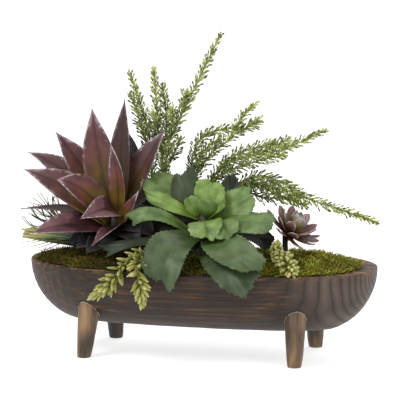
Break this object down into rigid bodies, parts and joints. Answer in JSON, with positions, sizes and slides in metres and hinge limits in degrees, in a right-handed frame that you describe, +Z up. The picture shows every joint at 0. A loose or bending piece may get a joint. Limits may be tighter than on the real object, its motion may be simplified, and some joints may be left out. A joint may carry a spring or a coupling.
{
  "type": "succulent dish garden",
  "caption": "Faux succulent arrangement with rosettes, sedum and needle sprays in moss, in a long carved wooden bowl on peg legs.",
  "frame": {"origin": "on the ground, under the middle of the whole piece's box", "axes": "+X along the bowl to the right as seen from the front, +Y to the back, +Z up"},
  "size_m": [0.645, 0.3326, 0.5563],
  "materials": {
    "bowl_wood": "dark stained paulownia wood, waxed, with open grain",
    "leg_wood": "dark stained wood, hand turned, waxed",
    "foam": "rigid floral foam, brown",
    "moss": "dried preserved moss, matte",
    "burgundy_leaf": "soft moulded plastic leaf, hand painted, matte",
    "green_leaf": "soft moulded plastic leaf, flocked matte",
    "mauve_leaf": "soft moulded plastic leaf, hand painted, matte",
    "yellow_green_leaf": "soft moulded plastic leaf, matte",
    "needle_green": "moulded plastic needle spray, satin",
    "twig": "moulded plastic strand, matte"
  },
  "bodies": {
    "root": {"bowl": "bowl_wood", "leg_front_left": "leg_wood", "leg_front_right": "leg_wood", "leg_back_left": "leg_wood", "leg_back_right": "leg_wood", "foam": "foam", "moss": "moss", "agave": "burgundy_leaf", "green_rosette": "green_leaf", "small_echeveria": "mauve_leaf", "sedum_long": "yellow_green_leaf", "sedum_short": "yellow_green_leaf", "sedum_right": "yellow_green_leaf", "sprig_tall": "needle_green", "sprig_back": "needle_green", "sprig_thin": "needle_green", "sprig_arched": "needle_green", "sprig_middle": "needle_green", "sprig_low": "needle_green", "sprig_left": "needle_green", "twigs_left": "twig"}
  },
  "joints": []
}
